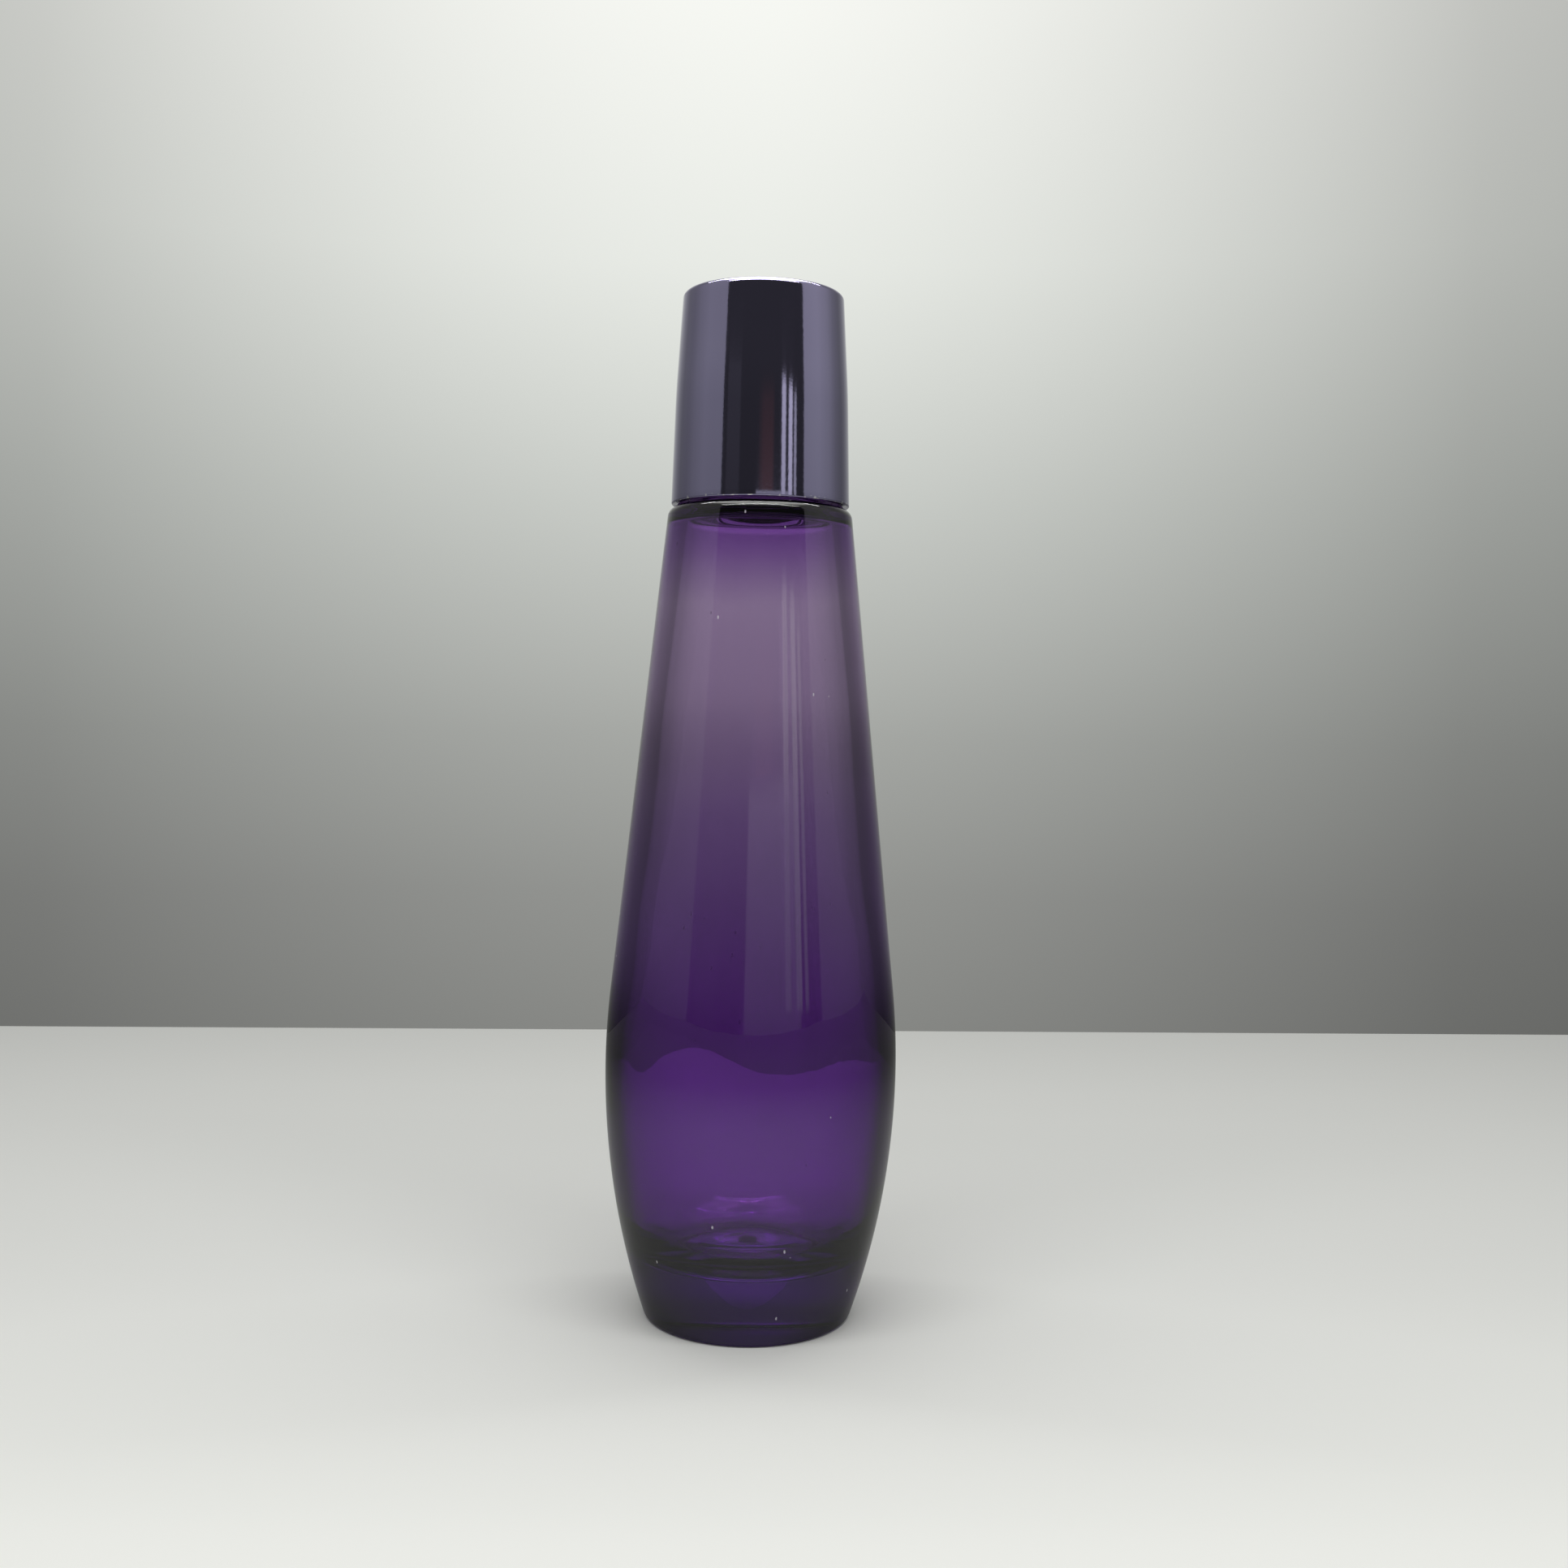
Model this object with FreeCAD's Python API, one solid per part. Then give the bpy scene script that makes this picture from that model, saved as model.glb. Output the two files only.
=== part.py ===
import FreeCAD, Part
import math
import os

# A tapered glass splash bottle with a pour insert and a tall screw cap.
# Millimetres and degrees. The axis is Z, and the bottle stands on the plane Z = 0.

# Outside of the glass body
body_radius = 22.5
belly_height = 38.7
belly_arc_radius = 117.7
taper_angle = 6.08
shoulder_height = 124.7
shoulder_fillet = 1.7
heel_fillet = 1.2
bearing_ring_width = 1.9
push_up = 1.2

# Inside of the glass body
belly_wall = 2.6
shoulder_wall = 3.1
shoulder_thickness = 3.0
shoulder_inner_fillet = 2.5
throat_fillet = 1.5
base_thickness = 9.6
floor_fillet = 6.0
floor_dome_width = 17.0
floor_dome_rise = 2.4

# Neck finish
neck_radius = 8.85
neck_height = 14.0
neck_root_fillet = 1.0
bore_radius = 6.6
rim_fillet = 0.6
neck_bead_size = 0.5
neck_bead_height = 2.4
thread_depth = 0.95

# Pour insert, pressed into the bore
flange_setback = 0.3
flange_thickness = 0.9
skirt_clearance = 0.05
skirt_wall = 0.9
skirt_depth = 7.5
skirt_lead = 0.5
sealing_bead = 0.15
sealing_bead_depths = (2.0, 4.5)
pour_radius = 1.75
drip_tube_wall = 0.8
drip_tube_depth = 5.0

# Seal disc
seal_thickness = 1.2
seal_clearance = 0.4
seal_edge = 0.2

# Outside of the cap
cap_gap = 0.3
cap_overhang = 2.6
cap_height = 32.0
lower_taper = 1.67
upper_taper = 3.47
bend_height = 17.1
bend_radius = 190.0
cap_top_fillet = 0.86
cap_rim_fillet = 0.25

# Inside of the cap
shell_wall = 1.2
shell_roof = 1.4
thread_clearance = 0.25
inner_cap_wall = 1.0
inner_cap_roof = 1.2
inner_cap_fillet = 0.5
inner_cap_mouth = 0.4
inner_cap_setback = 0.8
round_clearance = 0.15
sleeve_ledge = 1.6
sleeve_edge = 0.4

# Places that follow from the sizes above
rim_height = shoulder_height + neck_height
flange_top = rim_height + flange_thickness
seal_top = flange_top + seal_thickness
inner_cap_top = seal_top + inner_cap_roof
cap_bottom = shoulder_height + cap_gap
cap_top = cap_bottom + cap_height
roof_height = cap_top - shell_roof
insides_bottom = cap_bottom + inner_cap_setback
inner_cap_bore = neck_radius + thread_depth + thread_clearance
inner_cap_radius = inner_cap_bore + inner_cap_wall
cap_radius = inner_cap_radius + cap_overhang
taper = math.radians(taper_angle)
coincident = 1e-6


def at(radius, height):
    """A point of a profile, by its distance from the axis and its height."""
    return FreeCAD.Vector(radius, 0, height)


def arc(centre, radius, start, end):
    """An arc as start, middle and end points. Angles go up from straight out, in radians."""
    angles = (start, (start + end) / 2, end)
    return tuple(centre + at(radius * math.cos(a), radius * math.sin(a)) for a in angles)


def rounded(before, corner, after, radius):
    """The arc that rounds the corner between two straight lines."""
    back = (before - corner).normalize()
    ahead = (after - corner).normalize()
    half = back.getAngle(ahead) / 2
    inward = (back + ahead).normalize()
    centre = corner + inward * (radius / math.sin(half))
    reach = radius / math.tan(half)
    return corner + back * reach, centre - inward * radius, corner + ahead * reach


def dome(edge_radius, edge_height, rise):
    """The arc from the axis down to the edge of a shallow dome."""
    radius = (edge_radius**2 + rise**2) / (2 * rise)
    centre = at(0, edge_height + rise - radius)
    return arc(centre, radius, math.pi / 2, math.acos(edge_radius / radius))


def turned(*items):
    """Joins points and arcs in turn by straight lines, closes them and turns them about the axis."""
    spans = [item if isinstance(item, tuple) else (item,) for item in items]
    edges = []
    for span, following in zip(spans, spans[1:] + spans[:1]):
        if len(span) > 1:
            edges.append(Part.Arc(*span).toShape())
        if not span[-1].isEqual(following[0], coincident):
            edges.append(Part.LineSegment(span[-1], following[0]).toShape())
    face = Part.Face(Part.Wire(edges))
    return face.revolve(at(0, 0), FreeCAD.Vector(0, 0, 1), 360)


# The outside and the inside of the belly are arcs about one centre, which the cone leaves at a tangent.
belly_centre = at(body_radius - belly_arc_radius, belly_height)


def foot(wall_radius, floor_height, fillet):
    """The centre of the fillet between a belly arc and a level floor, and the angle where they meet."""
    height = floor_height + fillet
    drop = height - belly_centre.z
    run = math.sqrt((wall_radius - fillet) ** 2 - drop**2)
    return at(belly_centre.x + run, height), math.atan2(drop, run)


def cone_radius(height):
    """The outside radius of the cone at a height."""
    tangent = belly_centre + at(math.cos(taper), math.sin(taper)) * belly_arc_radius
    return tangent.x - (height - tangent.z) * math.tan(taper)


def bottle_outside():
    """The outside of the glass from the middle of the underside to the top of the neck."""
    heel, heel_angle = foot(belly_arc_radius, 0, heel_fillet)
    underside = dome(heel.x - bearing_ring_width, 0, push_up)
    belly = arc(belly_centre, belly_arc_radius, heel_angle, taper)
    shoulder = at(cone_radius(shoulder_height), shoulder_height)
    root = at(neck_radius, shoulder_height)
    bead = at(neck_radius, shoulder_height + neck_bead_height)
    lip = at(neck_radius, rim_height)
    return [
        underside,
        arc(heel, heel_fillet, -math.pi / 2, heel_angle),
        belly,
        rounded(belly[-1], shoulder, root, shoulder_fillet),
        rounded(shoulder, root, lip, neck_root_fillet),
        arc(bead, neck_bead_size, -math.pi / 2, math.pi / 2),
        rounded(root, lip, at(0, rim_height), rim_fillet),
    ]


def bottle_inside():
    """The inside of the glass from the mouth to the middle of the floor."""
    ceiling = shoulder_height - shoulder_thickness
    mouth = at(bore_radius, rim_height)
    throat = at(bore_radius, ceiling)
    corner = at(cone_radius(ceiling) - shoulder_wall, ceiling)
    wall_radius = belly_arc_radius - belly_wall
    rise = corner - belly_centre
    lean = math.atan2(rise.z, rise.x) - math.acos(wall_radius / rise.Length)
    heel, heel_angle = foot(wall_radius, base_thickness, floor_fillet)
    belly = arc(belly_centre, wall_radius, lean, heel_angle)
    floor = dome(floor_dome_width / 2, base_thickness, floor_dome_rise)
    return [
        rounded(at(neck_radius, rim_height), mouth, throat, rim_fillet),
        rounded(mouth, throat, corner, throat_fillet),
        rounded(throat, corner, belly[0], shoulder_inner_fillet),
        belly,
        arc(heel, floor_fillet, heel_angle, -math.pi / 2),
        floor[::-1],
    ]


def cap_side(inset, low, high):
    """The cap's bent side, set in from its outside, from one height to another."""
    lean = math.radians(lower_taper)
    top_lean = math.radians(upper_taper)
    steeper = math.tan(top_lean) - math.tan(lean)
    thicker = inset / math.cos(top_lean) - inset / math.cos(lean)
    bend = bend_height - thicker / steeper
    corner_radius = cap_radius - bend * math.tan(lean) - inset / math.cos(lean)
    corner = at(corner_radius, cap_bottom + bend)
    bottom = at(corner_radius + (corner.z - low) * math.tan(lean), low)
    top = at(corner_radius - (high - corner.z) * math.tan(top_lean), high)
    return bottom, rounded(bottom, corner, top, bend_radius - inset), top


def glass_bottle():
    return turned(*bottle_outside(), *bottle_inside())


def pour_insert():
    skirt = bore_radius - skirt_clearance
    tip = rim_height - skirt_depth
    tube = pour_radius + drip_tube_wall
    beads = [at(skirt, rim_height - depth) for depth in sealing_bead_depths]
    return turned(
        at(pour_radius, flange_top),
        at(neck_radius - flange_setback, flange_top),
        at(neck_radius - flange_setback, rim_height),
        at(skirt, rim_height),
        *[arc(bead, sealing_bead, math.pi / 2, -math.pi / 2) for bead in beads],
        at(skirt, tip + skirt_lead),
        at(skirt - skirt_lead, tip),
        at(skirt - skirt_wall, tip),
        at(skirt - skirt_wall, rim_height),
        at(tube, rim_height),
        at(tube, rim_height - drip_tube_depth),
        at(pour_radius, rim_height - drip_tube_depth),
    )


def seal_disc():
    radius = inner_cap_bore - seal_clearance
    low = at(radius, flange_top)
    high = at(radius, seal_top)
    return turned(
        at(0, flange_top),
        rounded(at(0, flange_top), low, high, seal_edge),
        rounded(low, high, at(0, seal_top), seal_edge),
        at(0, seal_top),
    )


def inner_cap():
    corner = at(inner_cap_radius, inner_cap_top)
    foot_edge = at(inner_cap_radius, insides_bottom)
    return turned(
        at(0, inner_cap_top),
        rounded(at(0, inner_cap_top), corner, foot_edge, inner_cap_fillet),
        foot_edge,
        at(inner_cap_bore + inner_cap_mouth, insides_bottom),
        at(inner_cap_bore, insides_bottom + inner_cap_mouth),
        at(inner_cap_bore, seal_top),
        at(0, seal_top),
    )


def cap_sleeve():
    bottom, bend, top = cap_side(shell_wall + round_clearance, insides_bottom, roof_height)
    lower_bore = inner_cap_radius + round_clearance
    upper_bore = lower_bore - sleeve_ledge
    return turned(
        bottom,
        bend,
        rounded(bend[-1], top, at(upper_bore, roof_height), sleeve_edge),
        at(upper_bore, roof_height),
        at(upper_bore, inner_cap_top),
        at(lower_bore, inner_cap_top),
        at(lower_bore, insides_bottom),
    )


def cap_shell():
    bottom, bend, top = cap_side(0, cap_bottom, cap_top)
    inner_bottom, inner_bend, inner_top = cap_side(shell_wall, cap_bottom, roof_height)
    return turned(
        rounded(inner_bottom, bottom, bend[0], cap_rim_fillet),
        bend,
        rounded(bend[-1], top, at(0, cap_top), cap_top_fillet),
        at(0, cap_top),
        at(0, roof_height),
        inner_top,
        inner_bend[::-1],
        rounded(inner_bend[0], inner_bottom, bottom, cap_rim_fillet),
    )


pieces = {
    "glass_bottle": glass_bottle(),
    "pour_insert": pour_insert(),
    "seal_disc": seal_disc(),
    "inner_cap": inner_cap(),
    "cap_sleeve": cap_sleeve(),
    "cap_shell": cap_shell(),
}
os.makedirs("parts", exist_ok=True)
for name, shape in pieces.items():
    shape.exportStep(f"parts/{name}.step")
    print(name, "valid" if shape.isValid() else "NOT VALID", round(shape.Volume, 1), "cubic mm")

cavity = turned(*bottle_inside(), at(0, rim_height))
print("brimful capacity", round(cavity.Volume / 1000, 1), "ml")
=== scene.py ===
# %% [markdown]
# # A tapered purple glass bottle with a mirror cap
# The bottle is empty, see-through glass, sprayed purple on the outside, with a tall metallised
# screw cap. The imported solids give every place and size. This lesson turns smoother glass and
# cap meshes over them, raises the screw threads, and mixes the finishes.

# %% Load the frame
import math
import bmesh
import bpy
from mathutils import Matrix, Vector


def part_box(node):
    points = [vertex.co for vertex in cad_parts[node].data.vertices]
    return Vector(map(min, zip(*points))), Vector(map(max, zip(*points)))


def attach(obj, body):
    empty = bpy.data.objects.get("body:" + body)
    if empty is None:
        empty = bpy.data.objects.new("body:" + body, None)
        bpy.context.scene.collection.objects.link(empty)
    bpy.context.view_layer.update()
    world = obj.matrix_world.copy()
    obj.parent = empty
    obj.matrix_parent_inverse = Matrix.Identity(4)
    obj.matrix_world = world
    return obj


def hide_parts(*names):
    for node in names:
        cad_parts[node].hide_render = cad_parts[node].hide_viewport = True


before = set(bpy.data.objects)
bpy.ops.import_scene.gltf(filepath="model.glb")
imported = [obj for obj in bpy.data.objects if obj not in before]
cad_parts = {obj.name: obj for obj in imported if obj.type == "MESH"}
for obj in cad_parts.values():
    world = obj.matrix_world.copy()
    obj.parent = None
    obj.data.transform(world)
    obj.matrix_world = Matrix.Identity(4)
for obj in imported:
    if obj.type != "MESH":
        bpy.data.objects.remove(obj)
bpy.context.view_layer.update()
MM = 0.001
print("solids", sorted(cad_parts))

# %% [markdown]
# Everything on this bottle is round, so every piece starts as a half outline that is spun about
# the axis. A drawing program would round a corner with an arc, and so do these helpers: an outline
# is a list of points, with each arc cut finely enough that glass and mirror show no flats.

# %% Outline helpers
ARC_STEP = math.radians(7)
FINE_STEP = ARC_STEP / 12


def at(radius, height):
    """A point of an outline: its distance from the axis and its height."""
    return Vector((radius, 0, height))


def arc(centre, radius, start, end, step=ARC_STEP):
    """Points along an arc. Angles go up from straight out."""
    count = max(2, math.ceil(abs(end - start) / step))
    angles = [start + (end - start) * i / count for i in range(count + 1)]
    return [centre + at(radius * math.cos(a), radius * math.sin(a)) for a in angles]


def rounded(before, corner, after, radius, step=ARC_STEP):
    """Points that round the corner between two straight lines."""
    back = (before - corner).normalized()
    ahead = (after - corner).normalized()
    half = back.angle(ahead) / 2
    inward = (back + ahead).normalized()
    centre = corner + inward * (radius / math.sin(half))
    first = corner + back * (radius / math.tan(half)) - centre
    last = corner + ahead * (radius / math.tan(half)) - centre
    count = max(2, math.ceil(first.angle(last) / step))
    return [centre + first.slerp(last, i / count).normalized() * radius for i in range(count + 1)]


def divided(points, spacing):
    """Adds points on straight stretches, so that rings lie no further apart than spacing."""
    out = [points[0]]
    for a, b in zip(points, points[1:]):
        count = max(1, math.ceil((b - a).length / spacing))
        out += [a.lerp(b, i / count) for i in range(1, count + 1)]
    return out


# %% [markdown]
# Spinning a long outline all the way round in fine steps is slow, because each step looks through
# the whole mesh again. So a narrow wedge is spun, then doubled and turned four times. Each point
# of the outline also gets a zone number, by which later steps find the neck or the inside.

# %% Spin helper
SPIN_STEPS = 192
DOUBLINGS = 4
MERGE = 1e-7
OUTSIDE, NECK, INSIDE = 0, 1, 2


def spun(name, outline, zones):
    """Spins an outline about the axis into a bmesh, with a zone number on every vertex."""
    bm = bmesh.new()
    zone = bm.verts.layers.int.new("zone")
    ring = [bm.verts.new(point) for point in outline]
    for vert, number in zip(ring, zones):
        vert[zone] = number
    edges = [bm.edges.new(pair) for pair in zip(ring, ring[1:])]
    wedge = math.tau / 2**DOUBLINGS
    bmesh.ops.spin(bm, geom=ring + edges, cent=(0, 0, 0), axis=(0, 0, 1),
                   angle=wedge, steps=SPIN_STEPS >> DOUBLINGS, use_merge=False)
    for i in range(DOUBLINGS):
        copied = bmesh.ops.duplicate(bm, geom=bm.verts[:] + bm.edges[:] + bm.faces[:])["geom"]
        copies = [part for part in copied if isinstance(part, bmesh.types.BMVert)]
        turn = Matrix.Rotation(wedge * 2**i, 3, "Z")
        bmesh.ops.rotate(bm, verts=copies, cent=(0, 0, 0), matrix=turn)
    bmesh.ops.remove_doubles(bm, verts=bm.verts, dist=MERGE)
    bmesh.ops.recalc_face_normals(bm, faces=bm.faces)
    print(name, len(bm.faces), "faces")
    return bm, zone


# %% [markdown]
# A bmesh is only a draft. To count as a piece it becomes an object at the origin, says which body
# it rides on and which solid it stands in for.


# %% Piece helpers
def finished(name, bm, body, slot, *nodes):
    """Makes the bmesh a smooth object that rides on a body in place of its solids."""
    for face in bm.faces:
        face.smooth = True
    mesh = bpy.data.meshes.new(name)
    bm.to_mesh(mesh)
    bm.free()
    piece = bpy.data.objects.new(name, mesh)
    bpy.context.collection.objects.link(piece)
    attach(piece, body)
    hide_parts(*nodes)
    return piece


def even_shading(piece):
    """Weights the shading by the size of the faces, so that flats stay flat beside fillets."""
    piece.modifiers.new("even shading", "WEIGHTED_NORMAL").keep_sharp = True


# %% [markdown]
# The screw thread is a standard one, 3.175 mm a turn and one and a half turns long. It could be a
# separate swept ridge, but glass that overlaps glass shows false edges. So the neck's own rings are
# set close together, and the ones that the helix crosses are pushed out. The cap's thread is the
# same helix half a pitch lower, pushed in, so that the two mesh as the cap turns.

# %% Thread helpers
PITCH = 3.175 * MM
TURNS = 1.5
RIDGE_HALF = 0.78 * MM
RIDGE_FLANK = 1.6
RIDGE_FADE = 0.12


def smooth(x):
    """A soft step from 0 to 1."""
    x = min(1.0, max(0.0, x))
    return x * x * (3 - 2 * x)


def ridge(point, start):
    """How far into the thread's ridge a point lies, from 0 to 1."""
    turn = math.atan2(point.y, point.x) / math.tau % 1.0
    depth = 0.0
    while turn <= TURNS:
        painted_front_light = 1 - abs(point.z - start - turn * PITCH) / RIDGE_HALF
        fade = smooth(turn / RIDGE_FADE) * smooth((TURNS - turn) / RIDGE_FADE)
        depth = max(depth, smooth(painted_front_light * RIDGE_FLANK) * fade)
        turn += 1.0
    return depth


def push(vert, distance):
    """Moves a vertex out from the axis."""
    flat = Vector((vert.co.x, vert.co.y, 0)).normalized()
    vert.co += flat * distance


# %% [markdown]
# ## The glass
# The outside is a long cone that runs at a tangent into a belly arc, with a tight heel, a flat
# shoulder and a neck with a bead. The inside follows it with a wall of about 3 mm, over a floor
# nearly 10 mm thick with a low dome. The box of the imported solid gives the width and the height.

# %% Glass sizes
glass_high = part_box("glass_bottle")[1]
BODY_RADIUS = glass_high.x
RIM = glass_high.z
BELLY_HEIGHT = 38.7 * MM
BELLY_ARC = 117.7 * MM
TAPER = math.radians(6.08)
NECK_HEIGHT = 14.0 * MM
SHOULDER = RIM - NECK_HEIGHT
SHOULDER_FILLET = 1.7 * MM
HEEL_FILLET = 1.2 * MM
BEARING_RING = 1.9 * MM
PUSH_UP = 1.2 * MM
BELLY_WALL = 2.6 * MM
SHOULDER_WALL = 3.1 * MM
SHOULDER_THICKNESS = 2.0 * MM
SHOULDER_INNER_FILLET = 1.2 * MM
THROAT_FILLET = 1.5 * MM
BASE = 9.6 * MM
FLOOR_FILLET = 9.4 * MM
FLOOR_DOME = 8.5 * MM
FLOOR_RISE = 1.5 * MM
DOME_SOFT = 1.3
DOME_POINTS = 24
NECK_RADIUS = 8.85 * MM
BORE = 6.6 * MM
NECK_ROOT = 1.0 * MM
NECK_BEAD = 0.5 * MM
NECK_BEAD_HEIGHT = 2.4 * MM
LIP = 0.6 * MM
belly = at(BODY_RADIUS - BELLY_ARC, BELLY_HEIGHT)
print("glass", round(BODY_RADIUS * 2, 4), "across and", round(RIM, 4), "tall")


# %% Curves of the glass
def foot(wall, floor, fillet):
    """The centre of the fillet between a belly arc and a floor, and the angle where they meet."""
    drop = floor + fillet - belly.z
    run = math.sqrt((wall - fillet) ** 2 - drop**2)
    return at(belly.x + run, floor + fillet), math.atan2(drop, run)


def cone(height):
    """The outside radius of the cone."""
    tangent = belly + at(math.cos(TAPER), math.sin(TAPER)) * BELLY_ARC
    return tangent.x - (height - tangent.z) * math.tan(TAPER)


def dome(edge, height, rise):
    """A shallow dome from the axis to its edge, round on top and softened at its foot."""
    steps = [math.sin(i / DOME_POINTS * math.pi / 2) for i in range(DOME_POINTS + 1)]
    return [at(edge * s, height + rise * max(0, 1 - s * s) ** DOME_SOFT) for s in steps]


# %% Glass outline
def glass_outside():
    """The body from the middle of the underside to the shoulder, and the neck up to its lip."""
    heel, heel_angle = foot(BELLY_ARC, 0, HEEL_FILLET)
    side = arc(belly, BELLY_ARC, heel_angle, TAPER, FINE_STEP)
    shoulder = at(cone(SHOULDER), SHOULDER)
    root = at(NECK_RADIUS, SHOULDER)
    lip = at(NECK_RADIUS, RIM)
    bead = at(NECK_RADIUS, SHOULDER + NECK_BEAD_HEIGHT)
    body = dome(heel.x - BEARING_RING, 0, PUSH_UP)
    body += arc(heel, HEEL_FILLET, -math.pi / 2, heel_angle)
    body += side[1:]
    body += rounded(side[-1], shoulder, root, SHOULDER_FILLET)
    neck = rounded(shoulder, root, lip, NECK_ROOT)
    neck += arc(bead, NECK_BEAD, -math.pi / 2, math.pi / 2)
    neck += rounded(root, lip, at(0, RIM), LIP)
    return body, neck


def glass_inside():
    """The inside from the mouth to the middle of the floor."""
    ceiling = SHOULDER - SHOULDER_THICKNESS
    mouth = at(BORE, RIM)
    throat = at(BORE, ceiling)
    corner = at(cone(ceiling) - SHOULDER_WALL, ceiling)
    wall = BELLY_ARC - BELLY_WALL
    rise = corner - belly
    lean = math.atan2(rise.z, rise.x) - math.acos(wall / rise.length)
    heel, heel_angle = foot(wall, BASE, FLOOR_FILLET)
    side = arc(belly, wall, lean, heel_angle, FINE_STEP)
    points = rounded(at(NECK_RADIUS, RIM), mouth, throat, LIP)
    points += rounded(mouth, throat, corner, THROAT_FILLET)
    points += rounded(throat, corner, side[0], SHOULDER_INNER_FILLET)
    points += side
    points += arc(heel, FLOOR_FILLET, heel_angle, -math.pi / 2)[1:]
    return points + dome(FLOOR_DOME, BASE, FLOOR_RISE)[::-1]


# %% Glass draft
BODY_RINGS = 1.2 * MM
NECK_RINGS = 0.22 * MM
outer, neck = glass_outside()
outer = divided(outer, BODY_RINGS)
neck = divided([outer[-1]] + neck, NECK_RINGS)[1:]
inner = divided([neck[-1]] + glass_inside(), BODY_RINGS)[1:]
zones = [OUTSIDE] * len(outer) + [NECK] * len(neck) + [INSIDE] * len(inner)
bm, zone = spun("glass", outer + neck + inner, zones)

# %% [markdown]
# Blown glass is even outside, where the mould held it, and a little wavy inside, and that is what
# bends the view through it. So the inner rings are moved by a few tenths of a millimetre: a long
# swell up the wall, and waves round the belly. The neck's rings take the thread.

# %% Glass waves and thread
WAVE = 0.10 * MM
# Each wave has its lobes round the bottle, its length up the wall in mm, its start and its share.
WAVES = ((2, 9.0, 0.6, 1.0), (3, -6.5, 2.1, 0.7), (5, 4.1, 4.0, 0.55), (1, 14.0, 0.0, 0.8))
WAVE_TURN = 0.40
WAVE_LOW = 12 * MM
WAVE_HIGH = 76 * MM
WAVE_FADE = 26 * MM
SWELL = 0.55 * MM
SWELL_HEIGHT = 40 * MM
SWELL_LENGTH = 18 * MM
SWELL_HIGH = 100 * MM
ABOVE_BEAD = SHOULDER + 2 * NECK_BEAD_HEIGHT - NECK_BEAD
THREAD_RISE = 5.6 * MM
THREAD_START = SHOULDER + THREAD_RISE
THREAD_DEPTH = 0.95 * MM


def waviness(point):
    """How far out the blown inner wall lies at a point."""
    turn = math.atan2(point.y, point.x) + WAVE_TURN
    z = point.z / MM
    waves = sum(share * math.sin(lobes * turn + z / length + start)
                for lobes, length, start, share in WAVES)
    waves *= smooth((WAVE_HIGH - point.z) / WAVE_FADE)
    swell = math.sin((point.z - SWELL_HEIGHT) / SWELL_LENGTH)
    swell *= smooth((SWELL_HIGH - point.z) / SWELL_LENGTH)
    return (WAVE * waves - SWELL * swell) * smooth((point.z - WAVE_LOW) / WAVE_LOW)


for vert in bm.verts:
    if vert[zone] == INSIDE:
        push(vert, waviness(vert.co))
    elif vert[zone] == NECK and vert.co.z > ABOVE_BEAD:
        push(vert, THREAD_DEPTH * ridge(vert.co, THREAD_START))
lacquered = bm.verts.layers.float.new("lacquer")
for vert in bm.verts:
    vert[lacquered] = float(vert[zone] != INSIDE)
glass = finished("purple_glass_bottle", bm, "bottle", "purple_glass", "glass_bottle")
print("thread from", round(THREAD_START, 4), "m up,", TURNS, "turns")

# %% [markdown]
# ## The cap
# The shell is one moulded cup with a mirror skin. Its side leans in by less than two degrees and
# then, above the middle, by three and a half, joined by a very slow bend that only the reflections
# give away. Spinning it again with close rings keeps those reflections straight.

# %% Cap side
shell_low, shell_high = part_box("cap_shell")
CAP_BOTTOM = shell_low.z
CAP_TOP = shell_high.z
CAP_RADIUS = shell_high.x
LOWER_LEAN = math.radians(1.67)
UPPER_LEAN = math.radians(3.47)
BEND_HEIGHT = 17.1 * MM
BEND_RADIUS = 190 * MM
BEND_STEP = math.radians(0.15)


def cap_side(inset, low, high):
    """The cap's bent side, set in from its outside."""
    steeper = math.tan(UPPER_LEAN) - math.tan(LOWER_LEAN)
    thicker = inset / math.cos(UPPER_LEAN) - inset / math.cos(LOWER_LEAN)
    bend = BEND_HEIGHT - thicker / steeper
    radius = CAP_RADIUS - bend * math.tan(LOWER_LEAN) - inset / math.cos(LOWER_LEAN)
    corner = at(radius, CAP_BOTTOM + bend)
    bottom = at(corner.x + (corner.z - low) * math.tan(LOWER_LEAN), low)
    top = at(corner.x - (high - corner.z) * math.tan(UPPER_LEAN), high)
    return bottom, rounded(bottom, corner, top, BEND_RADIUS - inset, BEND_STEP), top


# %% Cap shell
SHELL_WALL = 1.2 * MM
SHELL_ROOF = 1.4 * MM
TOP_FILLET = 0.86 * MM
RIM_FILLET = 0.25 * MM
CAP_RINGS = 0.8 * MM
bottom, bend, top = cap_side(0, CAP_BOTTOM, CAP_TOP)
in_bottom, in_bend, in_top = cap_side(SHELL_WALL, CAP_BOTTOM, CAP_TOP - SHELL_ROOF)
skin = rounded(in_bottom, bottom, bend[0], RIM_FILLET) + bend
skin += rounded(bend[-1], top, at(0, CAP_TOP), TOP_FILLET)
skin = divided([at(0, CAP_TOP)] + skin[::-1], CAP_RINGS)
lining = rounded(bottom, in_bottom, in_bend[0], RIM_FILLET) + in_bend
lining += [in_top, at(0, in_top.z)]
lining = divided([skin[-1]] + lining, CAP_RINGS * 2)[1:]
zones = [OUTSIDE] * len(skin) + [INSIDE] * len(lining)
bm, zone = spun("cap shell", skin + lining, zones)
for face in bm.faces:
    face.material_index = int(all(vert[zone] == INSIDE for vert in face.verts))
shell = finished("mirror_cap_shell", bm, "cap", "metallised_violet", "cap_shell")
even_shading(shell)

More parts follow.
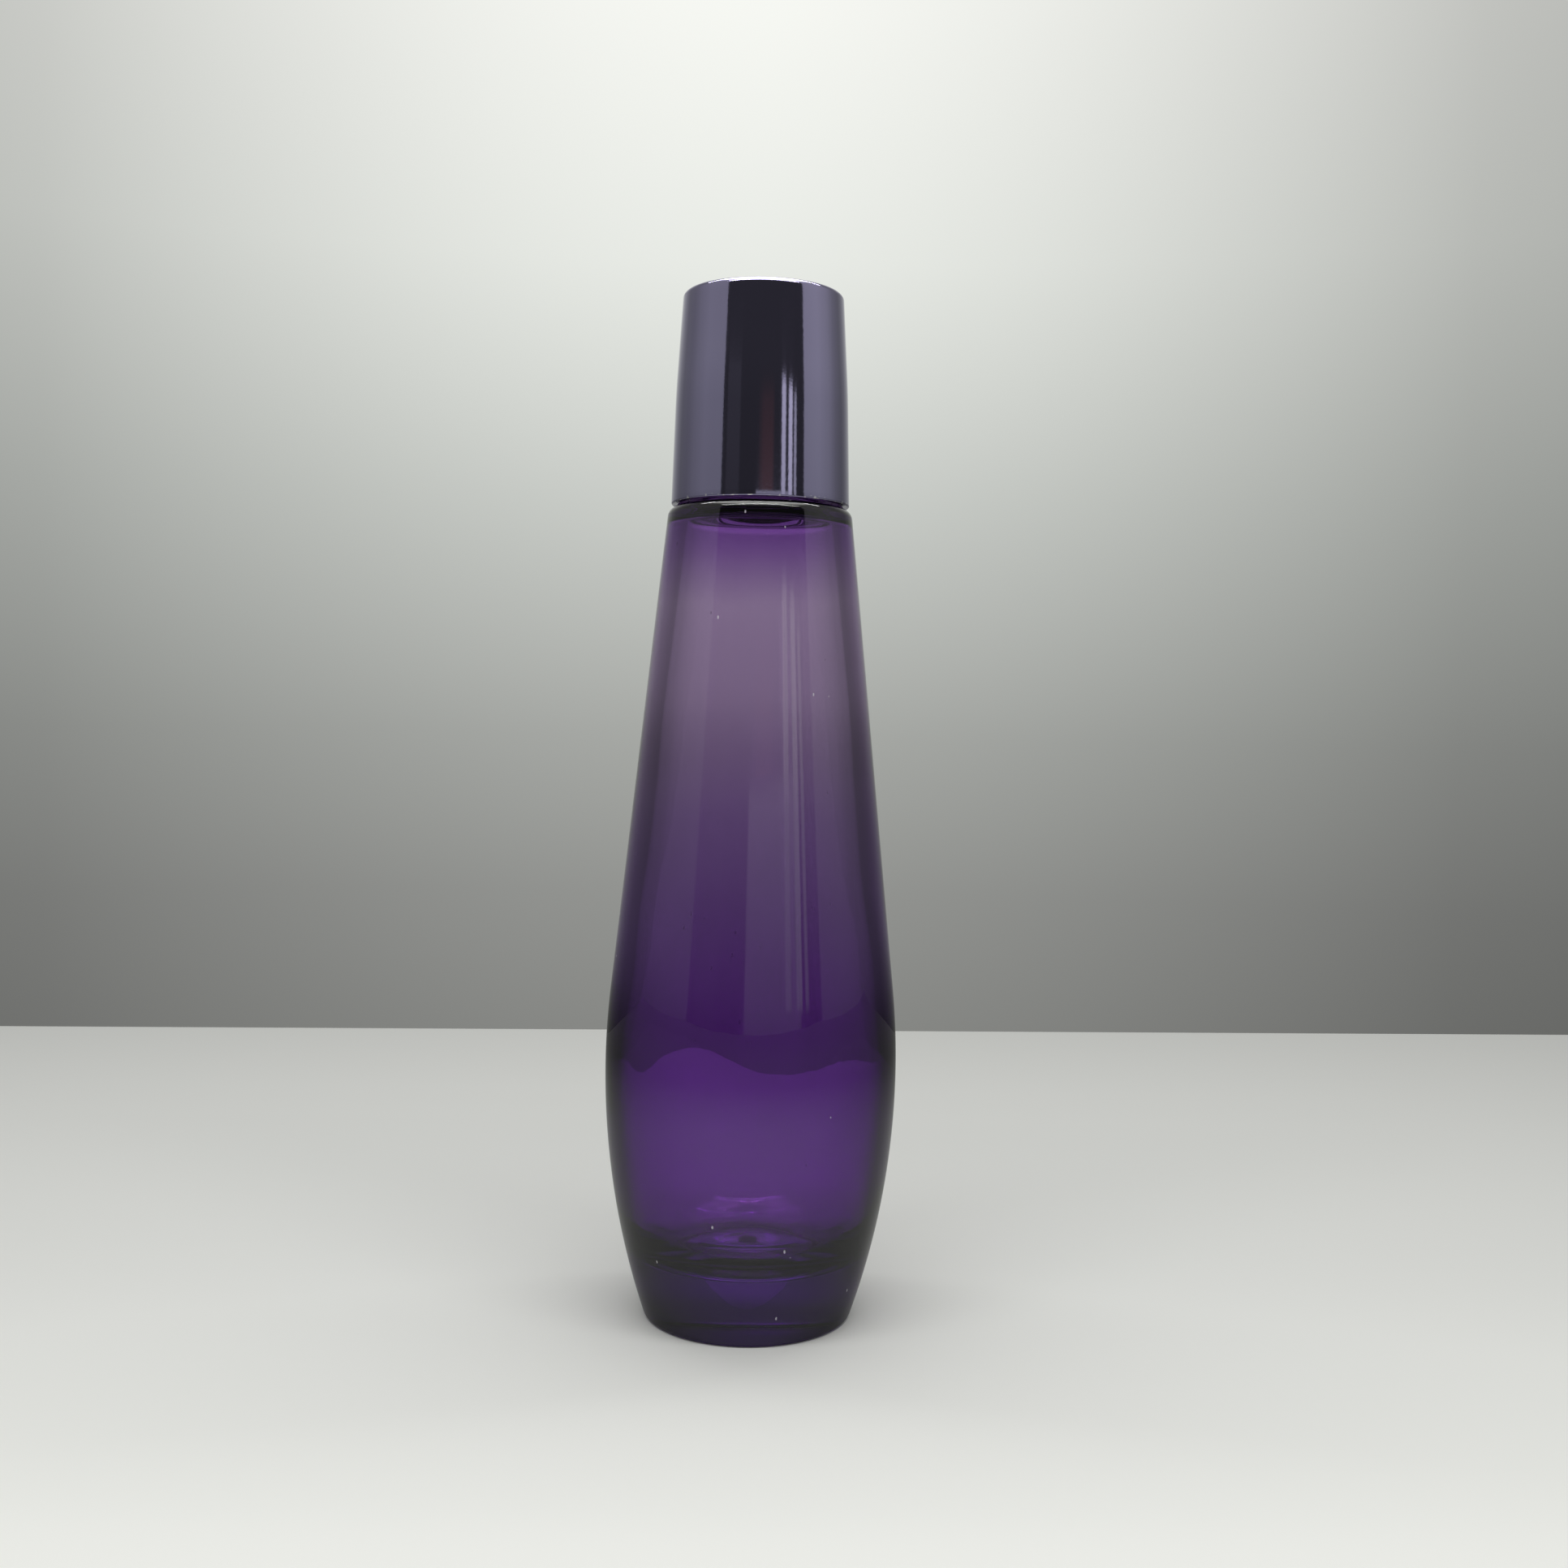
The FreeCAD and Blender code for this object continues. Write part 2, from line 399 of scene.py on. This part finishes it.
# %% [markdown]
# The inner cap is a plain white moulding that nobody sees until the cap comes off. Its thread is
# the neck's helix, half a pitch lower, pushed in from the bore. Its ceiling rests on the seal.

# %% Inner cap
liner_low, liner_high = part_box("inner_cap")
SEAL_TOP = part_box("seal_disc")[1].z
LINER_RADIUS = liner_high.x
LINER_WALL = 1.0 * MM
LINER_BORE = LINER_RADIUS - LINER_WALL
LINER_MOUTH = 0.4 * MM
LINER_FILLET = 0.5 * MM
CAP_THREAD_DEPTH = 0.85 * MM
crown = at(0, liner_high.z)
corner = at(LINER_RADIUS, liner_high.z)
hem = at(LINER_RADIUS, liner_low.z)
outside = [crown] + rounded(crown, corner, hem, LINER_FILLET)
outside += rounded(corner, hem, at(LINER_BORE, liner_low.z), RIM_FILLET)
outside.append(at(LINER_BORE + LINER_MOUTH, liner_low.z))
outside.append(at(LINER_BORE, liner_low.z + LINER_MOUTH))
bore = divided([outside[-1], at(LINER_BORE, SEAL_TOP)], NECK_RINGS)[1:]
zones = [OUTSIDE] * len(outside) + [NECK] * len(bore) + [INSIDE]
bm, zone = spun("inner cap", outside + bore + [at(0, SEAL_TOP)], zones)
for vert in bm.verts:
    if vert[zone] == NECK:
        push(vert, -CAP_THREAD_DEPTH * ridge(vert.co, THREAD_START - PITCH / 2))
inner_cap = finished("threaded_inner_cap", bm, "cap", "white_polypropylene", "inner_cap")
even_shading(inner_cap)

# %% [markdown]
# ## Finishes
# A node tree is easier to read as sums than as boxes. This small class wraps a socket, so that
# mask * 0.5 + 0.1 adds its Math nodes by itself, and one function adds any other node.


# %% Shader maths
class Wire:
    """A node's output that can be used in Python sums."""

    def __init__(self, tree, socket):
        self.tree = tree
        self.socket = socket

    def math(self, operation, *others, swap=False):
        """Adds a Math node that takes this wire and the others, or them first."""
        values = [*others, self] if swap else [self, *others]
        settings = {"operation": operation}
        return add(self.tree, "ShaderNodeMath", settings, dict(enumerate(values)))

    def __add__(self, other):
        return self.math("ADD", other)

    __radd__ = __add__

    def __mul__(self, other):
        return self.math("MULTIPLY", other)

    __rmul__ = __mul__

    def __sub__(self, other):
        return self.math("SUBTRACT", other)

    def __rsub__(self, other):
        return self.math("SUBTRACT", other, swap=True)

    def __truediv__(self, other):
        return self.math("DIVIDE", other)

    def __gt__(self, other):
        return self.math("GREATER_THAN", other)

    def __lt__(self, other):
        return self.math("LESS_THAN", other)

    def ramp(self, low, high):
        """0 at low, 1 at high and a soft step between."""
        settings = {"interpolation_type": "SMOOTHSTEP"}
        values = {"Value": self, "From Min": low, "From Max": high}
        return add(self.tree, "ShaderNodeMapRange", settings, values)


# %% Any other node
def add(tree, kind, settings=None, values=None, output=0):
    """Adds a node with its settings, feeds its sockets and gives one of its outputs."""
    node = tree.nodes.new(kind)
    for key, value in (settings or {}).items():
        if key == "stops":
            set_stops(node.color_ramp, value)
        else:
            setattr(node, key, value)
    for key, value in (values or {}).items():
        if isinstance(value, Wire):
            tree.links.new(value.socket, node.inputs[key])
        else:
            node.inputs[key].default_value = value
    return Wire(tree, node.outputs[output]) if node.outputs else None


def set_stops(ramp, stops):
    """Sets a colour ramp's stops from pairs of place and colour."""
    while len(ramp.elements) < len(stops):
        ramp.elements.new(1.0)
    for element, (spot, colour) in zip(ramp.elements, stops):
        element.position = spot
        element.color = (*colour, 1)


# %% Material helpers
def material(name):
    """An empty material and its tree."""
    made = bpy.data.materials.new(name)
    made.use_nodes = True
    made.node_tree.nodes.clear()
    return made, made.node_tree


def show(tree, shader, volume=None):
    """Sends a shader to the surface, and one to the volume if there is one."""
    values = {"Surface": shader, "Volume": volume} if volume else {"Surface": shader}
    add(tree, "ShaderNodeOutputMaterial", values=values)


def mix(tree, share, first, second):
    """Mixes two colours, each a wire or three numbers."""
    ends = [end if isinstance(end, Wire) else (*end, 1) for end in (first, second)]
    values = {0: share, 6: ends[0], 7: ends[1]}
    return add(tree, "ShaderNodeMix", {"data_type": "RGBA"}, values, output=2)


def blend(tree, share, first, second):
    """Mixes two shaders."""
    return add(tree, "ShaderNodeMixShader", values={0: share, 1: first, 2: second})


def place(tree):
    """Where a point lies on the piece, in metres."""
    return add(tree, "ShaderNodeTexCoord", output="Object")


def along(tree, vector, axis):
    """A vector's part along one axis."""
    return add(tree, "ShaderNodeSeparateXYZ", values={0: vector}, output=axis)


def noise(tree, where, scale, detail=2.0):
    """Soft random patches. A larger scale makes them smaller."""
    values = {"Vector": where, "Scale": scale, "Detail": detail}
    return add(tree, "ShaderNodeTexNoise", values=values)


def cells(tree, where, scale):
    """The distance to the nearest of many scattered points."""
    values = {"Vector": where, "Scale": scale}
    return add(tree, "ShaderNodeTexVoronoi", {"feature": "F1"}, values)


def bumped(tree, height, strength, depth):
    """A surface that is bumped by a height."""
    values = {"Height": height, "Strength": strength, "Distance": depth}
    return add(tree, "ShaderNodeBump", values=values)


def matt(tree, colour):
    """A plain matt shader of a wire's colour or of three numbers."""
    colour = colour if isinstance(colour, Wire) else (*colour, 1)
    return add(tree, "ShaderNodeBsdfDiffuse", values={"Color": colour})


# %% [markdown]
# The purple is mostly a thin lacquer on the outside, which is why the thick base isn't black. So
# only the outer faces take the tint, picked by a vertex attribute, and the inner faces stay clear.
# The spray is uneven: deep at the shoulder, thin on the upper cone and deep again from the waist
# down. The lowest 3 mm, heel and underside, are painted near black, which is painted shade of the
# shadowed floor under the bottle. At a slant the lacquer is deepened towards black, partly for the
# longer path through it and partly as painted shade, so the edges darken, most of all below the
# waist, where a black matt shader is mixed in at a slant as painted shade too. The glass itself is
# a little smoky, and a volume that absorbs light darkens the base, where the light goes a long way
# through it. Smears and ragged dust keep it from looking drawn.

# %% Lacquer values and painted shade
# The two lowest stops, near black, are painted shade on the heel and the underside, where the floor
# under the bottle lies in shadow. The other stops are the uneven spray.
LACQUER_AND_HEEL_SHADE_STOPS = [
    (0.00, (0.025, 0.003, 0.060)),
    (0.025, (0.025, 0.003, 0.060)),
    (0.045, (0.150, 0.014, 0.360)),
    (0.10, (0.125, 0.013, 0.300)),
    (0.28, (0.112, 0.013, 0.275)),
    (0.42, (0.182, 0.062, 0.355)),
    (0.62, (0.305, 0.175, 0.450)),
    (0.76, (0.478, 0.332, 0.568)),
    (0.88, (0.512, 0.362, 0.598)),
    (0.95, (0.268, 0.125, 0.420)),
    (0.98, (0.180, 0.063, 0.325)),
]
SPRAY_SCALE = 40.0
SPRAY_UNEVEN = 0.06
WAIST = (40 * MM, 62 * MM)
HOLLOW = (7 * MM, 12 * MM)
# The edge values deepen the lacquer towards black at a slant, partly for its longer path and partly
# as painted shade. The slant values mix in black matt below the waist, which is painted shade.
EDGE = (0.40, 0.62)
EDGE_DEPTH = 0.93
EDGE_THIN = 0.66
SLANT = (0.05, 0.70)
SLANT_DEPTH = 0.50
CLEAR = (1, 1, 1)
BLACK = (0, 0, 0)
print("lacquer stops", len(LACQUER_AND_HEEL_SHADE_STOPS))


# %% Lacquered glass
GLASS_IOR = 1.52
POLISH = 0.004
SMEAR_SCALE = 90.0
SMEAR_DETAIL = 4.0
SMEAR = (0.52, 0.75)
SMEAR_ROUGH = 0.03
RIPPLE_SCALE = 260.0
RIPPLE_STRENGTH = 0.02
RIPPLE_DEPTH = 0.3 * MM


def lacquered_glass_with_painted_shade(tree, where, outer):
    """Glass whose outer faces carry the purple lacquer, with painted shade on its heel and edges.
    """
    height = along(tree, where, "Z")
    level = height / SHOULDER + (noise(tree, where, SPRAY_SCALE) - 0.5) * SPRAY_UNEVEN
    # This ramp also paints shade on the heel.
    lacquer = add(tree, "ShaderNodeValToRGB", {"stops": LACQUER_AND_HEEL_SHADE_STOPS}, {0: level})
    slant = add(tree, "ShaderNodeLayerWeight", values={"Blend": 0.5}, output="Facing")
    upper = height.ramp(*WAIST)
    # Painted shade: at a slant the lacquer is mixed towards black, partly for its longer path and
    # partly to darken the edges.
    edge_shade_depth = height.ramp(*HOLLOW) * EDGE_DEPTH - upper * EDGE_THIN
    lacquer_and_painted_shade = mix(tree, slant.ramp(*EDGE) * edge_shade_depth, lacquer, BLACK)
    smear = noise(tree, where, SMEAR_SCALE, SMEAR_DETAIL).ramp(*SMEAR)
    ripple = noise(tree, where, RIPPLE_SCALE)
    clear = add(tree, "ShaderNodeBsdfPrincipled", values={
        "Base Color": mix(tree, outer, CLEAR, lacquer_and_painted_shade),
        "Roughness": smear * SMEAR_ROUGH + POLISH,
        "IOR": GLASS_IOR,
        "Transmission Weight": 1.0,
        "Normal": bumped(tree, ripple, RIPPLE_STRENGTH, RIPPLE_DEPTH)})
    # Painted shade: below the waist a black matt shader is mixed in at a slant, darkening the edges
    # and the base.
    shade = slant.ramp(*SLANT) * (1 - upper) * outer * SLANT_DEPTH
    return blend(tree, shade, clear, matt(tree, BLACK))


# %% Dust and smoke
DUST = (0.62, 0.58, 0.66)
DUST_STRETCH = (1, 1, 0.5)
DUST_SCALE = 330.0
DUST_SIZE = 0.076
DUST_COVER = 0.65
RAGGED_SCALE = 2600.0
RAGGED = 0.06
DUSTY_SCALE = 75.0
DUSTY = 0.47
SMOKE = (0.25, 0.12, 0.50)
SMOKE_DENSITY = 40.0


def specks(tree, where):
    """A mask of small ragged specks, a little taller than wide, in some patches only."""
    tall = add(tree, "ShaderNodeMapping", values={"Vector": where, "Scale": DUST_STRETCH})
    ragged = cells(tree, tall, DUST_SCALE) + noise(tree, where, RAGGED_SCALE) * RAGGED
    dusty = noise(tree, where, DUSTY_SCALE, 0.0) > DUSTY
    return (ragged < DUST_SIZE) * dusty


def purple_glass():
    """The whole finish of the bottle: lacquered glass, dust on it and smoke in it."""
    made, tree = material("purple_lacquered_glass")
    where = place(tree)
    lacquer = add(tree, "ShaderNodeAttribute", {"attribute_name": "lacquer"}, output="Fac")
    outer = lacquer > 0.5
    surface = lacquered_glass_with_painted_shade(tree, where, outer)
    dusty = blend(tree, specks(tree, where) * outer * DUST_COVER, surface, matt(tree, DUST))
    values = {"Color": (*SMOKE, 1), "Density": SMOKE_DENSITY}
    show(tree, dusty, add(tree, "ShaderNodeVolumeAbsorption", values=values))
    return made


glass.data.materials.append(purple_glass())
print("glass finish", len(glass.active_material.node_tree.nodes), "nodes")

# %% [markdown]
# The cap's skin is metal, vacuum coated on plastic under a violet lacquer. It is a mirror, so its
# look comes from what stands round it. The finish itself adds only a very fine peel, a little
# haze, and the bright flecks where the skin has worn at the bottom rim.

# %% Mirror skin
SKIN = (0.300, 0.276, 0.435)
SKIN_DARK = (0.275, 0.250, 0.405)
WORN = (0.78, 0.77, 0.80)
WORN_RIM = (CAP_BOTTOM + 0.15 * MM, CAP_BOTTOM + 0.55 * MM)
FLECK_SCALE = 1500.0
FLECK = 0.63
PEEL_SCALE = 2600.0
PEEL_DETAIL = 3.0
PEEL_STRENGTH = 0.025
PEEL_DEPTH = 0.1 * MM
PEEL_ROUGH = 0.05
HAZE_SCALE = 120.0
HAZE_ROUGH = 0.03
MIRROR_ROUGH = 0.035
COAT = 0.25
COAT_ROUGH = 0.02


def mirror_skin():
    """A violet mirror with a fine peel, a little haze and a worn rim."""
    made, tree = material("metallised_violet_skin")
    where = place(tree)
    peel = noise(tree, where, PEEL_SCALE, PEEL_DETAIL)
    haze = noise(tree, where, HAZE_SCALE)
    rim = 1 - along(tree, where, "Z").ramp(*WORN_RIM)
    fleck = (noise(tree, where, FLECK_SCALE, 1.0) > FLECK) * rim
    show(tree, add(tree, "ShaderNodeBsdfPrincipled", values={
        "Base Color": mix(tree, fleck, mix(tree, haze, SKIN_DARK, SKIN), WORN),
        "Metallic": 1.0,
        "Roughness": MIRROR_ROUGH + peel * PEEL_ROUGH + haze * HAZE_ROUGH,
        "Normal": bumped(tree, peel, PEEL_STRENGTH, PEEL_DEPTH),
        "Coat Weight": COAT,
        "Coat Roughness": COAT_ROUGH}))
    return made


shell.data.materials.append(mirror_skin())
print("mirror skin worn up to", round(WORN_RIM[1], 5))

# %% [markdown]
# The hidden mouldings are plain plastics: milky soft polyethylene for the pour insert, satin white
# polypropylene for the cap's insides, and a fine-celled foam for the seal.

# %% Moulded plastics
FLOW_SCALE = 140.0
FLOW_DETAIL = 3.0
FLOW_ROUGH = 0.12
GRAIN_SCALE = 3200.0
GRAIN_DEPTH = 0.1 * MM
SOAK = 2 * MM
SOAK_SHARE = 0.2
FOAM_PALE = (0.86, 0.86, 0.84)
FOAM_DARK = (0.72, 0.72, 0.70)
FOAM_SCALE = 2400.0
FOAM_STRENGTH = 0.35
FOAM_DEPTH = 0.2 * MM
FOAM_ROUGH = 0.8


def moulded(name, pale, dark, roughness, grain):
    """A plastic with faint flow marks and a fine grain."""
    made, tree = material(name)
    where = place(tree)
    flow = noise(tree, where, FLOW_SCALE, FLOW_DETAIL)
    fine = noise(tree, where, GRAIN_SCALE)
    show(tree, add(tree, "ShaderNodeBsdfPrincipled", values={
        "Base Color": mix(tree, flow, dark, pale),
        "Roughness": roughness + flow * FLOW_ROUGH,
        "Normal": bumped(tree, fine, grain, GRAIN_DEPTH),
        "Subsurface Weight": SOAK_SHARE,
        "Subsurface Radius": (SOAK, SOAK, SOAK)}))
    return made


def foam():
    """A pale foam of very small cells."""
    made, tree = material("fine_foam")
    cell = cells(tree, place(tree), FOAM_SCALE)
    show(tree, add(tree, "ShaderNodeBsdfPrincipled", values={
        "Base Color": mix(tree, cell, FOAM_PALE, FOAM_DARK),
        "Roughness": FOAM_ROUGH,
        "Normal": bumped(tree, cell, FOAM_STRENGTH, FOAM_DEPTH)}))
    return made


# %% Finishes on the hidden pieces
# Each plastic has its pale and its dark tone, its roughness and the strength of its grain.
SATIN = ((0.82, 0.82, 0.81), (0.74, 0.74, 0.73), 0.38, 0.12)
MILK = ((0.80, 0.81, 0.80), (0.70, 0.72, 0.71), 0.32, 0.08)
white = moulded("satin_polypropylene", *SATIN)
milky = moulded("milky_polyethylene", *MILK)
shell.data.materials.append(white)
inner_cap.data.materials.append(white)
for node, finish in (("cap_sleeve", white), ("pour_insert", milky), ("seal_disc", foam())):
    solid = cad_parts[node]
    solid.data.materials.clear()
    solid.data.materials.append(finish)
print("finishes", len(bpy.data.materials))

# %% [markdown]
# ## The studio
# The bottle stands in a white light tent: a pale floor, a wall that is bright at the top, pale
# sides, a bright ceiling, and a dark opening where the camera looks in. Walls would get in the way
# of the other views, so the tent is painted on the world by direction. The wall darkens towards
# the floor and to the sides. The levels round the tent are greys, so a Math node may read them.

# %% Tent wall
WALL_STOPS = [
    (0.00, (0.232, 0.236, 0.225)),
    (0.15, (0.279, 0.284, 0.272)),
    (0.31, (0.366, 0.376, 0.358)),
    (0.55, (0.560, 0.580, 0.550)),
    (0.78, (0.770, 0.790, 0.750)),
    (1.00, (0.880, 0.890, 0.850)),
]
WALL_LOW = -0.19
WALL_HIGH = 0.38
TURN_LEVELS = (
    (0.00, 0.64), (0.22, 0.68), (0.42, 0.74), (0.58, 0.62), (0.70, 0.44),
    (0.82, 0.36), (0.885, 0.46), (0.96, 0.68), (0.985, 0.90), (1.00, 1.05),
)
SIDE_TURN = (0.2, 0.8)
RIGHT_FALL = 0.28
LEFT_FALL = 0.24
TINY = 0.001

world = bpy.data.worlds.new("light tent")
world.use_nodes = True
bpy.context.scene.world = world
tree = world.node_tree
tree.nodes.clear()
look = add(tree, "ShaderNodeTexCoord", output="Generated")
look_x, look_y, look_z = (along(tree, look, axis) for axis in "XYZ")
rise = (look_z - WALL_LOW) / (WALL_HIGH - WALL_LOW)
wall = add(tree, "ShaderNodeValToRGB", {"stops": WALL_STOPS}, {0: rise})
level = (look_x * look_x + look_y * look_y).math("SQRT").math("MAXIMUM", TINY)
turn_stops = [(spot, (grey, grey, grey)) for spot, grey in TURN_LEVELS]
fall = add(tree, "ShaderNodeValToRGB", {"stops": turn_stops}, {0: look_y / level * 0.5 + 0.5})
behind = look_y.ramp(*SIDE_TURN)
fall = fall * (1 - look_x.math("MAXIMUM", 0.0) * behind * RIGHT_FALL)
fall = fall * (1 + look_x.math("MINIMUM", 0.0) * (1 - behind) * LEFT_FALL)
print("wall stops", len(WALL_STOPS), "and levels round the tent", len(TURN_LEVELS))

# %% [markdown]
# The mirror cap shows the tent's opening as its dark stripe, with pale bars to its right and one
# warm glow beside them. These are placed by how far across the opening a direction lies, and how
# high. Only rays that come off the cap or the glass see them, and the bright ceiling too.

# %% Tent opening
OPENING_LEFT = -1.28
OPENING_RIGHT = 1.54
OPENING_TOP = 0.62
OPENING_SOFT = 0.02
across = look_x / (0 - look_y).math("MAXIMUM", TINY)
opening = (look_y < 0) * (look_z < OPENING_TOP)
opening = opening * across.ramp(OPENING_LEFT - OPENING_SOFT, OPENING_LEFT + OPENING_SOFT)
opening = opening * (1 - across.ramp(OPENING_RIGHT - OPENING_SOFT, OPENING_RIGHT + OPENING_SOFT))
print("opening from", OPENING_LEFT, "to", OPENING_RIGHT)

# %% Pale bars
# Each bar has its left, right, low and high edge and its strength.
BARS = (
    (-1.05, -0.55, -0.10, 0.30, 0.04),
    (-0.12, 0.80, -0.08, 0.15, 0.75),
    (0.48, 0.60, 0.0, 0.265, 1.3),
    (0.70, 0.84, 0.0, 0.25, 1.5),
    (0.92, 1.02, 0.0, 0.23, 1.0),
)
BAR_SOFT = 0.03
bars = look_x * 0
for left, right, low, high, strength in BARS:
    wide = across.ramp(left, left + BAR_SOFT) * (1 - across.ramp(right, right + BAR_SOFT))
    tall = look_z.ramp(low, low + BAR_SOFT) * (1 - look_z.ramp(high, high + BAR_SOFT))
    bars = bars.math("MAXIMUM", wide * tall * strength)
print("pale bars", len(BARS))

# %% Tent level and warm glow
DARK = 0.075
CEILING = (0.80, 0.92)
CEILING_GLOW = 5.0
BAR_FAINT = 0.1
WARM = (2.0, 1.15, 0.98)
WARM_LEFT = (-0.10, 0.08)
WARM_RIGHT = (0.24, 0.32)
WARM_TOP = (0.16, 0.30)
tent_level = fall * (1 - opening) + opening * (bars + DARK)
tent_level = tent_level + look_z.ramp(*CEILING) * CEILING_GLOW
warm = opening * across.ramp(*WARM_LEFT) * (1 - across.ramp(*WARM_RIGHT))
warm = warm * (1 - look_z.ramp(*WARM_TOP)) * (bars < BAR_FAINT)
tent_colour = mix(tree, warm, wall, WARM)
print("warm glow up to", WARM_TOP[1])

# %% [markdown]
# The camera sees the plain wall, and rays that come off the cap or the glass see the tent. Behind
# the bottle the two are the same. Every other ray is light that falls on the bottle or the floor,
# and gets an even white.

# %% World
AMBIENT = 0.38


def background(tree, colour, strength):
    """A world of one colour and strength, each plain or a wire."""
    values = {"Color": colour, "Strength": strength}
    return add(tree, "ShaderNodeBackground", values=values)


glossy = add(tree, "ShaderNodeLightPath", output="Is Glossy Ray")
direct = add(tree, "ShaderNodeLightPath", output="Is Camera Ray")
through = add(tree, "ShaderNodeLightPath", output="Is Transmission Ray")
seen = direct.math("MAXIMUM", through).math("MAXIMUM", glossy)
plain = background(tree, wall, fall)
tent = background(tree, tent_colour, tent_level)
ambient = background(tree, (1, 1, 1, 1), AMBIENT)
mixed = blend(tree, seen, ambient, blend(tree, glossy, plain, tent))
add(tree, "ShaderNodeOutputWorld", values={"Surface": mixed})
print("world", len(tree.nodes), "nodes")

# %% [markdown]
# The floor is pale and matt, and painted light makes it brighter in front of the bottle. It simply
# ends where the back wall would stand, at a slight slant. Far from the bottle it looks dim to
# reflections only, so that the cap mirrors a dim part of the tent there while the floor itself
# stays pale.

# %% Floor
FLOOR_BACK = 0.2325
BACK_SLANT = 0.048
FLOOR_SIDE = 1.6
FLOOR_FRONT = -1.2
FLOOR_PALE = (0.79, 0.80, 0.765)
# The brighter tone in front of the bottle is painted light.
FLOOR_PAINTED_LIGHT = (0.96, 0.97, 0.92)
FLOOR_AWAY = (0.36, 0.36, 0.35)
NEAR = (-0.13, 0.04)
SILL = (0.09, 0.24)
MOTTLE_SCALE = 9.0
MOTTLE_DETAIL = 3.0
MOTTLE = 0.06

bm = bmesh.new()
far = [(x, FLOOR_BACK + BACK_SLANT * x) for x in (FLOOR_SIDE, -FLOOR_SIDE)]
corners = [(-FLOOR_SIDE, FLOOR_FRONT), (FLOOR_SIDE, FLOOR_FRONT), *far]
bm.faces.new([bm.verts.new((x, y, 0)) for x, y in corners])
mesh = bpy.data.meshes.new("studio_floor")
bm.to_mesh(mesh)
bm.free()
floor = bpy.data.objects.new("studio_floor", mesh)
bpy.context.collection.objects.link(floor)
print("floor ends", FLOOR_BACK, "m behind the bottle")

# %% Floor finish
paper, tree = material("pale_floor")
where = place(tree)
# Painted light: the floor's colour turns brighter towards the front.
painted_front_light = 1 - along(tree, where, "Y").ramp(*NEAR)
mottle = (noise(tree, where, MOTTLE_SCALE, MOTTLE_DETAIL) - 0.5) * MOTTLE
tone = mix(tree, painted_front_light + mottle, FLOOR_PALE, FLOOR_PAINTED_LIGHT)
away = add(tree, "ShaderNodeVectorMath", {"operation": "LENGTH"}, {0: where}, output="Value")
mirrored = add(tree, "ShaderNodeLightPath", output="Is Glossy Ray")
through = add(tree, "ShaderNodeLightPath", output="Is Transmission Ray")
tone = mix(tree, mirrored * (1 - through) * away.ramp(*SILL), tone, FLOOR_AWAY)
show(tree, matt(tree, tone))
floor.data.materials.append(paper)
print("floor finish", len(tree.nodes), "nodes")

# %% [markdown]
# Two strip lamps hang over the front and one over the back. They are narrow, so that the glass
# shows them as thin lines, and long, so that the shadow on the floor stays soft.

# %% Lamps
LAMP_HEIGHT = 0.40
LAMP_LONG = 0.50
LAMP_WIDE = 0.012
LAMP_POWER = 0.41
LAMP_PLACES = (-0.20, -0.16, 0.08)
for number, depth in enumerate(LAMP_PLACES):
    lamp = bpy.data.lights.new(f"overhead strip {number}", "AREA")
    lamp.shape = "RECTANGLE"
    lamp.size = LAMP_LONG
    lamp.size_y = LAMP_WIDE
    lamp.energy = LAMP_POWER
    strip = bpy.data.objects.new(f"overhead strip {number}", lamp)
    strip.location = (0, depth, LAMP_HEIGHT)
    bpy.context.collection.objects.link(strip)
print("strips", len(LAMP_PLACES))

# %% [markdown]
# The camera stands 26 cm in front of the bottle, a little below the shoulder, turned and rolled by
# about a degree, as a hand-held one is. Its axes are built one by one from those three angles.

# %% Camera
PHOTO_SIDE = 1932
FOCAL_PIXELS = 2075
SENSOR = 36.0
CLIP_START = 0.01
CAMERA_PLACE = Vector((0, -0.26003, 0.0934))
PITCH_DOWN = math.radians(2.40)
YAW = -0.0169
ROLL = 0.0178
UPRIGHT = Vector((0, 0, 1))
level_right = Vector((math.cos(YAW), math.sin(YAW), 0))
level_ahead = Vector((-math.sin(YAW), math.cos(YAW), 0))
ahead = level_ahead * math.cos(PITCH_DOWN) - UPRIGHT * math.sin(PITCH_DOWN)
above = level_ahead * math.sin(PITCH_DOWN) + UPRIGHT * math.cos(PITCH_DOWN)
right = level_right * math.cos(ROLL) + above * math.sin(ROLL)
up = above * math.cos(ROLL) - level_right * math.sin(ROLL)
lens = bpy.data.cameras.new("studio camera")
lens.sensor_width = SENSOR
lens.lens = FOCAL_PIXELS / PHOTO_SIDE * SENSOR
lens.clip_start = CLIP_START
camera = bpy.data.objects.new("studio camera", lens)
facing = Matrix((right, up, -ahead)).transposed().to_4x4()
camera.matrix_world = Matrix.Translation(CAMERA_PLACE) @ facing
bpy.context.collection.objects.link(camera)
bpy.context.scene.camera = camera
bpy.context.scene.view_settings.view_transform = "Standard"
print("lens", round(lens.lens, 2), "mm")
